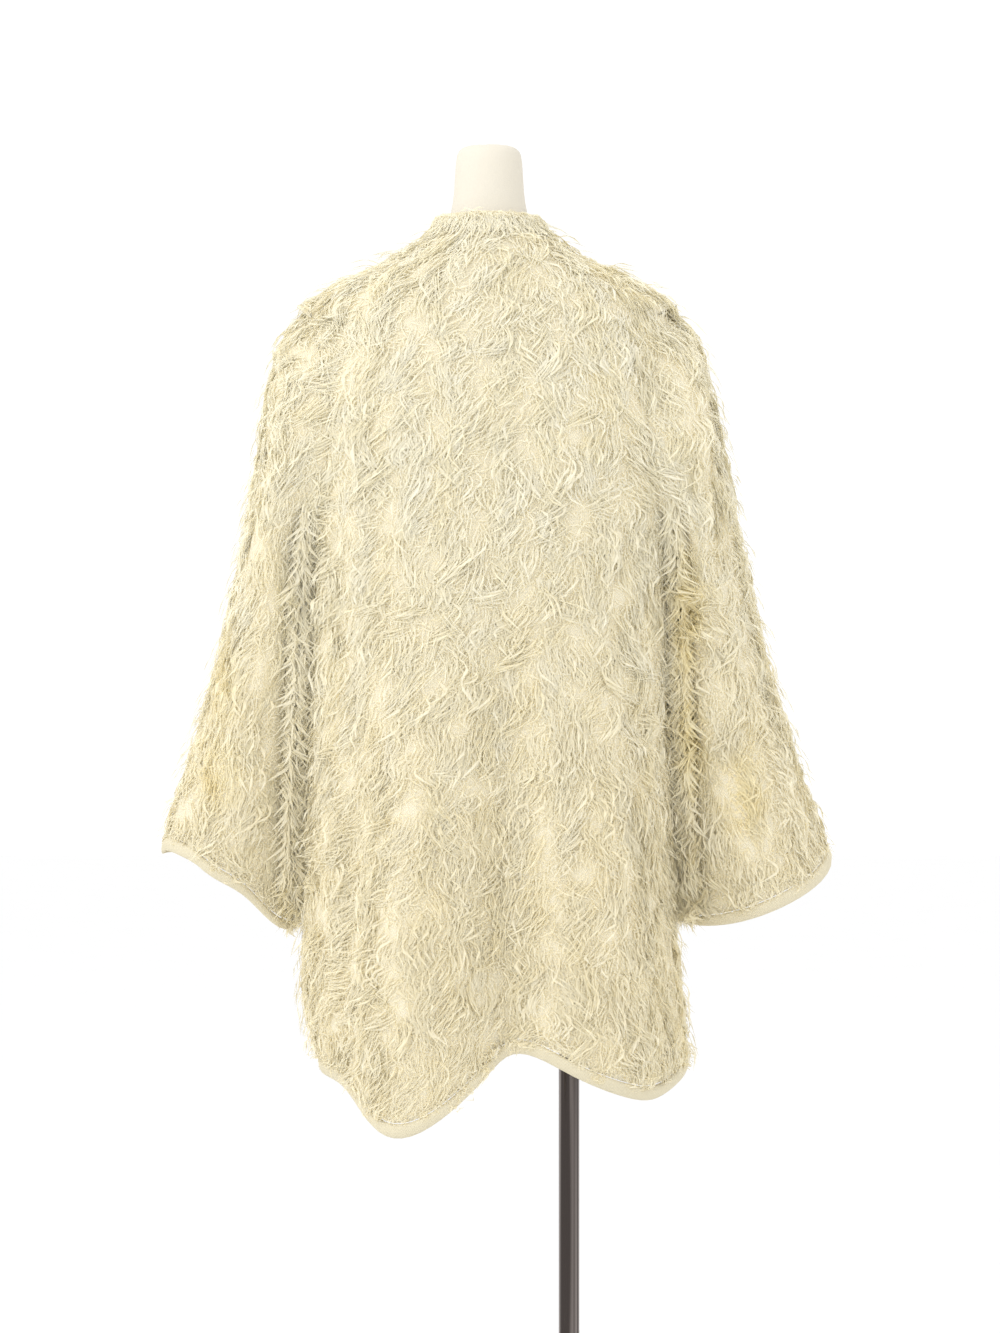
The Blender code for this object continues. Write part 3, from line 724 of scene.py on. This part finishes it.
def body_lean(flat):
    """How far the body's locks turn from straight down: outwards, a little more to the wearer's left."""
    return np.radians(np.clip(BODY_LEAN + BODY_LEAN_TURN * flat[:, :1], *BODY_LEAN_MOST))


def sleeve_lean(side):
    """The same for a sleeve, whose locks fall away from the body."""
    return lambda flat: np.full((len(flat), 1), -side * SLEEVE_LEAN)


def drift(flat, chance):
    """A soft random value for each place on the cut, mostly within one either way, in slanting patches."""
    value = np.zeros(len(flat))
    for _ in range(DRIFT_WAVES):
        wide = 2.0 * math.pi / chance.uniform(*DRIFT_WIDE)
        tall = 2.0 * math.pi / chance.uniform(*DRIFT_TALL)
        slanted = flat[:, 0] - DRIFT_SLANT * flat[:, 1]
        value += np.sin(wide * slanted + tall * flat[:, 1] + chance.uniform(0.0, 2.0 * math.pi))
    return value / math.sqrt(DRIFT_WAVES)


# %% [markdown]
# ## Combing
#
# A lock's strands start apart, gather a little and fray at their tips. Each is bent once, and its bend and
# its tip stand at random heights over the cloth. Where body and sleeve face each other, the fringe fills a
# share of the gap between them. A few loose strands stand out further.

# %% Combing locks
LOCK_LENGTH = (0.022, 0.044)
LEAN_DRIFT = math.radians(30.0)
LEAN_SPREAD = math.radians(16.0)
CURL = 0.0045
ROOT_ACROSS = 0.0056
ROOT_DOWN = 0.0052
ROOT_SUNK = 0.001
REACH_SHARE = (0.75, 1.05)
BEND_SHARE = (0.40, 0.55)
GATHER = 0.45
FRAY = 0.0036
BEND_HEIGHT = (0.0012, 0.0065)
TIP_HEIGHT = (0.0006, 0.0046)
PUFF = 0.65
PUFF_DRIFT = 0.4
PUFF_LIMITS = (0.3, 1.0)
WISP_SHARE = 0.16
WISP_HEIGHT = 0.013
EDGE_COVER = 0.006
GAP_MOST = 0.042
GAP_WEIGHT = 1.5
BEND_IN_GAP = (0.2, 0.7)
TIP_IN_GAP = (0.3, 0.9)
STRAND_RADIUS = 0.00050
WISP_RADIUS = 0.00026
LOCK_TONE = 0.5
LOCK_TONE_DRIFT = 0.45
LOCK_TONE_SPREAD = 0.1


def comb_locks(ground, others, whole, place, lean_of, total, chance):
    """Roots, bends and tips of the strands in a panel's locks, with their normals and tones."""
    centres, normals = lock_centres(ground, place, chance)
    print(len(centres), "locks")
    down = unit(np.array([0.0, 0.0, -1.0]) + normals * normals[:, 2:3])
    across = np.cross(normals, down)
    flat = place(centres)
    lean = lean_of(flat) + LEAN_DRIFT * drift(flat, chance)[:, None]
    lean = lean + LEAN_SPREAD * chance.standard_normal((len(centres), 1))
    hang = np.cos(lean) * down + np.sin(lean) * across
    length = chance.uniform(*LOCK_LENGTH, (len(centres), 1))

    curl = CURL * chance.standard_normal((len(centres), 1)) * across
    gaps = np.min([other.gap(centres, normals, GAP_MOST) for other in others], axis=0)
    facing = gaps < GAP_MOST
    puff = np.clip(PUFF + PUFF_DRIFT * drift(flat, chance), *PUFF_LIMITS)
    bend_least = np.where(facing, gaps * BEND_IN_GAP[0], BEND_HEIGHT[0])
    bend_most = np.maximum(np.where(facing, gaps * BEND_IN_GAP[1], BEND_HEIGHT[1] * puff), bend_least)
    tip_least = np.where(facing, gaps * TIP_IN_GAP[0], TIP_HEIGHT[0])
    tip_most = np.maximum(np.where(facing, gaps * TIP_IN_GAP[1], TIP_HEIGHT[1] * puff), tip_least)
    weight = np.where(facing, GAP_WEIGHT, 1.0)

    lock = np.sort(chance.choice(len(centres), size=total, p=weight / weight.sum()))
    offset = chance.normal(0.0, ROOT_ACROSS, (total, 1)) * across[lock]
    offset = offset + chance.normal(0.0, ROOT_DOWN, (total, 1)) * down[lock]
    roots = centres[lock] + offset
    reach = length[lock] * chance.uniform(*REACH_SHARE, (total, 1))
    room = ground.above_edge(roots, place) + chance.uniform(-EDGE_COVER, EDGE_COVER, total)
    reach = np.minimum(reach, np.maximum(room[:, None], EDGE_COVER))
    tips = roots + hang[lock] * reach - offset * GATHER
    tips = tips + chance.normal(0.0, FRAY, (total, 1)) * across[lock]
    bends = roots + (tips - roots) * chance.uniform(*BEND_SHARE, (total, 1))
    bends = bends + curl[lock] + chance.normal(0.0, FRAY, (total, 1)) * across[lock]
    wisp = (chance.random(total) < WISP_SHARE) * chance.random(total) * WISP_HEIGHT
    bends = whole.lift(bends, chance.uniform(bend_least[lock], bend_most[lock]) + wisp * 0.5)
    tips = whole.lift(tips, chance.uniform(tip_least[lock], tip_most[lock]) + wisp)
    roots = roots - normals[lock] * ROOT_SUNK
    tone = LOCK_TONE + LOCK_TONE_DRIFT * drift(flat, chance)[lock]
    tone = np.clip(tone + LOCK_TONE_SPREAD * chance.standard_normal(total), 0.0, 1.0)
    radius = np.where(wisp > 0.0, WISP_RADIUS, STRAND_RADIUS)
    return roots, bends, tips, normals[lock], tone, radius


# %% Undercoat
UNDERCOAT_LENGTH = (0.009, 0.019)
UNDERCOAT_LEAN = math.radians(50.0)
UNDERCOAT_BEND = (0.0012, 0.0032)
UNDERCOAT_TIP = (0.0006, 0.0026)
UNDERCOAT_SWAY = 0.002
UNDERCOAT_RADIUS = 0.00055
UNDERCOAT_TONE = 0.45
LOOSE_TONE = 0.5
LOOSE_TONE_SPREAD = 0.25
BARE_SHARE = 0.25


def loose_tone(mean, total, chance):
    """A tone for each loose strand, spread round a mean."""
    return np.clip(mean + LOOSE_TONE_SPREAD * chance.standard_normal(total), 0.0, 1.0)


def comb_undercoat(ground, place, total, chance):
    """Short loose strands between the locks."""
    roots, normals = ground.scatter(total, chance)
    rooted = covered(place(roots)) | (chance.random(total) < BARE_SHARE)
    roots, normals = roots[rooted], normals[rooted]
    total = len(roots)
    room = ground.above_edge(roots, place)[:, None]
    down = unit(np.array([0.0, 0.0, -1.0]) + normals * normals[:, 2:3])
    across = np.cross(normals, down)
    lean = UNDERCOAT_LEAN * chance.standard_normal((total, 1))
    hang = np.cos(lean) * down + np.sin(lean) * across
    reach = np.minimum(chance.uniform(*UNDERCOAT_LENGTH, (total, 1)), np.maximum(room, EDGE_COVER))
    tips = roots + hang * reach
    bends = roots + (tips - roots) * 0.5 + across * chance.normal(0.0, UNDERCOAT_SWAY, (total, 1))
    bends = ground.lift(bends, chance.uniform(*UNDERCOAT_BEND, total))
    tips = ground.lift(tips, chance.uniform(*UNDERCOAT_TIP, total))
    tone = loose_tone(UNDERCOAT_TONE, total, chance)
    return roots - normals * ROOT_SUNK, bends, tips, normals, tone, np.full(total, UNDERCOAT_RADIUS)


# %% [markdown]
# ## Strands as meshes
#
# A blade has a root, one or two pairs of side corners, a tip and a keel below them, so a strand of a lock
# has ten triangles and a short one six. The yarn is crimped, so the pairs sway from side to side. The
# back's locks are halved into a lower and an upper piece, to keep each piece a fair size.

# %% Blades
CRIMP = 0.0012
CRIMP_TURN = 9.0
KEEL_DEPTH = 0.4


def blade_faces(pairs):
    """Triangles of a closed blade: a root, pairs of side corners, a tip, and one keel below them all."""
    left = [2 * number + 1 for number in range(pairs)]
    right = [corner + 1 for corner in left]
    tip, keel = 2 * pairs + 1, 2 * pairs + 2
    faces = [(0, right[0], left[0]), (left[-1], right[-1], tip)]
    for number in range(pairs - 1):
        faces.append((left[number], right[number], right[number + 1]))
        faces.append((left[number], right[number + 1], left[number + 1]))
    rim = [0, *right, tip, *reversed(left)]
    faces += [(keel, end, start) for start, end in zip(rim, rim[1:] + rim[:1])]
    return np.array(faces)


def blade_points(pairs, roots, bends, tips, normals, radius, chance):
    """Corners of all blades, in the order of blade_faces, along curves from root through bend to tip."""
    way = unit(tips - roots)
    beside = unit(np.cross(way, normals))
    above = np.cross(beside, way)
    pull = 2.0 * bends - (roots + tips) / 2.0
    phase = chance.uniform(0.0, 2.0 * math.pi, (len(roots), 1))
    wide = radius[:, None] * beside
    rows = [roots]
    for share in np.linspace(0.0, 1.0, pairs + 2)[1:-1]:
        middle = (1.0 - share) ** 2 * roots + 2.0 * share * (1.0 - share) * pull + share**2 * tips
        middle = middle + CRIMP * np.sin(phase + CRIMP_TURN * share) * beside
        rows += [middle - wide, middle + wide]
    rows += [tips, bends - KEEL_DEPTH * radius[:, None] * above]
    return np.stack(rows, axis=1)


def strand_piece(name, pairs, roots, bends, tips, normals, tone, radius):
    """One mesh of closed blades."""
    total = len(roots)
    points = blade_points(pairs, roots, bends, tips, normals, radius, np.random.default_rng(total))
    each = points.shape[1]
    faces = (blade_faces(pairs)[None] + each * np.arange(total)[:, None, None]).reshape(-1, 3)
    mesh = bpy.data.meshes.new(name)
    mesh.vertices.add(total * each)
    mesh.vertices.foreach_set("co", points.ravel())
    mesh.loops.add(faces.size)
    mesh.loops.foreach_set("vertex_index", faces.ravel())
    mesh.polygons.add(len(faces))
    mesh.polygons.foreach_set("loop_start", np.arange(0, faces.size, 3))
    mesh.update(calc_edges=True)
    shares = np.linspace(0.0, 1.0, pairs + 2)
    along = np.concatenate([shares[:1], np.repeat(shares[1:-1], 2), shares[-1:], [0.5]])
    fields = {"strand_along": np.tile(along, total), "strand_tone": np.repeat(tone, each)}
    for label, values in fields.items():
        mesh.attributes.new(label, "FLOAT", "POINT").data.foreach_set("value", values)
    mesh.shade_flat()
    mesh.materials.append(yarn.material)
    piece = link(bpy.data.objects.new(name, mesh))
    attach(piece, "root")
    print(name, total, "strands", len(faces), "triangles")
    return piece


# %% Fringe pieces
LOCK_SEED = 40
LOCK_PAIRS = 2
UNDERCOAT_PAIRS = 1
LOCK_STRANDS = {
    "back": 24500,
    "front_left": 7600,
    "front_right": 7600,
    "sleeve_left": 11000,
    "sleeve_right": 11000,
}
UNDERCOAT_SHARE = 0.62
LEANS = {
    "back": body_lean,
    "front_left": body_lean,
    "front_right": body_lean,
    "sleeve_left": sleeve_lean(1.0),
    "sleeve_right": sleeve_lean(-1.0),
}
grounds = {node: Ground.of(piece, CLOTH_THICK) for node, piece in cloth.items()}
whole = Ground.joined(list(grounds.values()))
fringe = {}
for number, (node, ground) in enumerate(grounds.items()):
    chance = np.random.default_rng(LOCK_SEED + number)
    others = [other for name, other in grounds.items() if ("sleeve" in name) != ("sleeve" in node)]
    place = PANELS[node][1]
    locks = comb_locks(ground, others, whole, place, LEANS[node], LOCK_STRANDS[node], chance)
    under = comb_undercoat(ground, place, int(LOCK_STRANDS[node] * UNDERCOAT_SHARE), chance)
    order = np.argsort(locks[0][:, 2])
    labels = ["_lower", "_upper"] if node == "back" else [""]
    fringe[node] = [
        strand_piece(node + "_fringe" + label, LOCK_PAIRS, *(field[share] for field in locks))
        for label, share in zip(labels, np.array_split(order, len(labels)))
    ]
    fringe[node].append(strand_piece(node + "_undercoat", UNDERCOAT_PAIRS, *under))

# %% [markdown]
# ## Fringe across the slits
#
# Body and sleeves hang close together, and their fringe tangles across the slits between them, so no dark
# gap shows. Each strand here is rooted on the nearest cloth and hangs in the mouth of a slit. A mouth is
# where the cloth lies deeper than it does a little to the left and to the right.

# %% Slit fringe
SLIT_SEED = 70
SLIT_MOST = {"back": 3800, "front": 1600}
SLIT_BOX = ((0.125, 0.70), (0.235, 1.13))
SLIT_TRIES = 16000
SLIT_HALF = 0.022
SLIT_DEPTH = 0.006
SLIT_SUNK = (-0.003, 0.006)
SLIT_ABOVE = 0.014
SLIT_SWAY = 0.010
SLIT_BELOW = (0.010, 0.024)
RAY_START = 0.4
NOTHING = -1.0


def outermost(way, across, up):
    """How far out towards the back, or towards the front with way -1, the outermost cloth lies."""
    found = np.full(len(across), NOTHING)
    for number, (x, z) in enumerate(zip(across, up)):
        hit = whole.tree.ray_cast(Vector((x, way * RAY_START, z)), Vector((0.0, -way, 0.0)))[0]
        if hit is not None:
            found[number] = way * hit.y
    return found


def slit_fringe(way, most, chance):
    """Strands in the mouths of the slits on one face of the jacket, no more than the most."""
    spots = chance.uniform(*SLIT_BOX, (SLIT_TRIES, 2))
    across, up = spots[:, 0] * chance.choice((-1.0, 1.0), SLIT_TRIES), spots[:, 1]
    beside = [outermost(way, across + step, up) for step in (-SLIT_HALF, SLIT_HALF)]
    lip = np.minimum(*beside)
    mouth = (lip > NOTHING) & (outermost(way, across, up) < lip - SLIT_DEPTH)
    across, up, lip = [field[mouth][:most] for field in (across, up, lip)]
    total = len(lip)
    sunk = chance.uniform(*SLIT_SUNK, (2, total))
    bends = np.stack([across, way * (lip - sunk[0]), up], axis=1)
    sway = chance.normal(0.0, SLIT_SWAY, total)
    below = chance.uniform(*SLIT_BELOW, total)
    tips = np.stack([across + sway, way * (lip - sunk[1]), up - below], axis=1)
    above = bends + np.array([0.0, 0.0, SLIT_ABOVE])
    roots = np.array([whole.tree.find_nearest(Vector(point))[0] for point in above])
    normals = np.tile([0.0, way, 0.0], (total, 1))
    tone = loose_tone(LOOSE_TONE, total, chance)
    return roots, bends, tips, normals, tone, np.full(total, STRAND_RADIUS)


for number, (face, way) in enumerate({"back": 1.0, "front": -1.0}.items()):
    strands = slit_fringe(way, SLIT_MOST[face], np.random.default_rng(SLIT_SEED + number))
    fringe["back"].append(strand_piece("slit_fringe_" + face, LOCK_PAIRS, *strands))

# %% [markdown]
# ## Plain knitted edges
#
# Hem, cuffs, neck and front edges end in a narrow band of plain knit, a little rounded. The CAD bands
# have the right form but few faces, so copies are merged, turned back into quads and subdivided.

# %% Edge bands
PLAIN_FOLD = 0.6


def edge_place(points):
    """Metres round the body's axis and metres up, at each point's own radius."""
    turn = np.arctan2(points[:, 0], points[:, 1])
    return np.stack([turn * np.hypot(points[:, 0], points[:, 1]), points[:, 2]], axis=1)


BANDS = {
    "hem_band": edge_place,
    "neck_band": edge_place,
    "front_band_left": edge_place,
    "front_band_right": edge_place,
    "cuff_band_left": sleeve_place(1.0),
    "cuff_band_right": sleeve_place(-1.0),
}


def merged_copy(node):
    """A merged bmesh copy of a CAD node, in quads where two triangles lie flat enough."""
    shape = bmesh.new()
    shape.from_mesh(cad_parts[node].data)
    bmesh.ops.remove_doubles(shape, verts=shape.verts, dist=MERGE)
    to_quads(shape, PLAIN_FOLD)
    return shape


def band_piece(node, place):
    """One knitted edge in place of its CAD band."""
    piece = subdivided(from_bmesh(node + "_knit", merged_copy(node)), 1)
    if node == "cuff_band_left":
        shape_left_cuff(piece)
    add_cloth_map(piece, place)
    piece.data.materials.clear()
    piece.data.materials.append(edge_knit.material)
    piece.data.shade_smooth()
    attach(piece, "root")
    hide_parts(node)
    print(piece.name, len(piece.data.polygons), "faces")
    return piece


bands = {node: band_piece(node, place) for node, place in BANDS.items()}

# %% [markdown]
# ## Fluff on the neck edge
#
# The back of the neck has no plain edge to see: loose strands cover it and run down on to the cloth. They
# are rooted on the outside and the top of the band, and combed over the band and the panels together.

# %% Neck fluff
NECK_SEED = 60
NECK_STRANDS = 2600
NECK_LENGTH = (0.012, 0.026)
NECK_LEAN = math.radians(28.0)
NECK_BEND = (0.0015, 0.0045)
NECK_TIP = (0.0010, 0.0045)
OUTWARD = 0.3


def neck_fluff(total, chance):
    """Strands from the neck band down over the panels."""
    band = Ground.of(bands["neck_band"], 0.0)
    facing = band.normals[band.triangles].mean(axis=1)
    outward = (facing[:, :2] * unit(band.points[band.triangles].mean(axis=1)[:, :2])).sum(axis=1)
    band.areas = np.where((outward > OUTWARD) | (facing[:, 2] > OUTWARD), band.areas, 0.0)
    around = Ground.joined([band, *(grounds[node] for node in ("back", "front_left", "front_right"))])
    roots, normals = band.scatter(total, chance)
    out = unit(roots * np.array([1.0, 1.0, 0.0]))
    along = np.cross(out, np.array([0.0, 0.0, 1.0]))
    lean = NECK_LEAN * chance.standard_normal((total, 1))
    hang = np.cos(lean) * unit(out - np.array([0.0, 0.0, 1.0])) + np.sin(lean) * along
    tips = roots + hang * chance.uniform(*NECK_LENGTH, (total, 1))
    bends = around.lift((roots + tips) / 2.0, chance.uniform(*NECK_BEND, total))
    tips = around.lift(tips, chance.uniform(*NECK_TIP, total))
    tone = loose_tone(LOOSE_TONE, total, chance)
    return roots, bends, tips, out, tone, np.full(total, STRAND_RADIUS)


neck_strands = neck_fluff(NECK_STRANDS, np.random.default_rng(NECK_SEED))
fringe["back"].append(strand_piece("neck_fluff", LOCK_PAIRS, *neck_strands))

# %% [markdown]
# ## The form
#
# The limbless form is smooth and pale, covered in a fine stretch cloth. The CAD torso has the right
# shape but shows facets at the neck, so a subdivided copy stands for it, with a very fine weave.

# %% Form
WEAVE_SCALE = 700.0
WEAVE_BUMP = 0.0003
CLOUD_SCALE = 7.0

cover = Finish("form_cover", Roughness=0.55, Specular_IOR_Level=0.2)
where = cover.place()
weave = cover.noise(where, WEAVE_SCALE, 4.0)
cloud = cover.noise(where, CLOUD_SCALE)
cover.feed("Base Color", cover.mix(cloud, (0.77, 0.72, 0.61, 1.0), (0.79, 0.74, 0.64, 1.0)))
cover.feed("Roughness", 0.45 + weave * 0.2)
cover.bump(weave, WEAVE_BUMP)
form = subdivided(from_bmesh("form_body", merged_copy("form_torso")), 1)
form.data.materials.clear()
form.data.materials.append(cover.material)
form.data.shade_smooth()
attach(form, "root")
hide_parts("form_torso")
print(form.name, len(form.data.polygons), "faces")

# %% [markdown]
# ## The stand
#
# The pole, socket and base are dark polished metal. The solids already have the right shape, so they
# stay and only get a finish: on the pole and socket a drawn-tube grain in the roughness that runs up and
# down, with pale and dark streaks of painted reflection in the colour, and on the flat base a fine even
# grain.

# %% Stand metal
DARK_METAL = (0.06, 0.050, 0.046, 1.0)
PALE_METAL = (0.24, 0.21, 0.195, 1.0)
STREAK_SCALE = 140.0
GRAIN_SCALE = 900.0


def metal_finish(name, stretch, low, high):
    """Dark metal whose grain is stretched along Z, with paler streaks of painted reflection where the noise
    lies between two levels.
    """
    metal = Finish(name, Metallic=1.0)
    sockets = {"Vector": metal.place(), "Scale": (1.0, 1.0, stretch)}
    stretched = metal.node("ShaderNodeMapping", {}, sockets)
    # Painted reflection: pale streaks in the dark colour stand for the studio's reflections in the tube.
    reflection_streak = metal.step(metal.noise(stretched, STREAK_SCALE, 1.0), low, high)
    fine = metal.noise(stretched, GRAIN_SCALE, 2.0)
    metal.feed("Base Color", metal.mix(reflection_streak, DARK_METAL, PALE_METAL))
    metal.feed("Roughness", 0.18 + fine * 0.16)
    return metal


tube_metal = metal_finish("stand_metal", 0.01, 0.42, 0.62)
base_metal = metal_finish("base_metal", 1.0, -1.2, 2.0)
STAND = {"stand_pole": tube_metal, "stand_socket": tube_metal, "stand_base": base_metal}
for node, metal in STAND.items():
    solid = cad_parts[node]
    solid.data.materials.clear()
    solid.data.materials.append(metal.material)
print("finishes", tube_metal.material.name, base_metal.material.name)
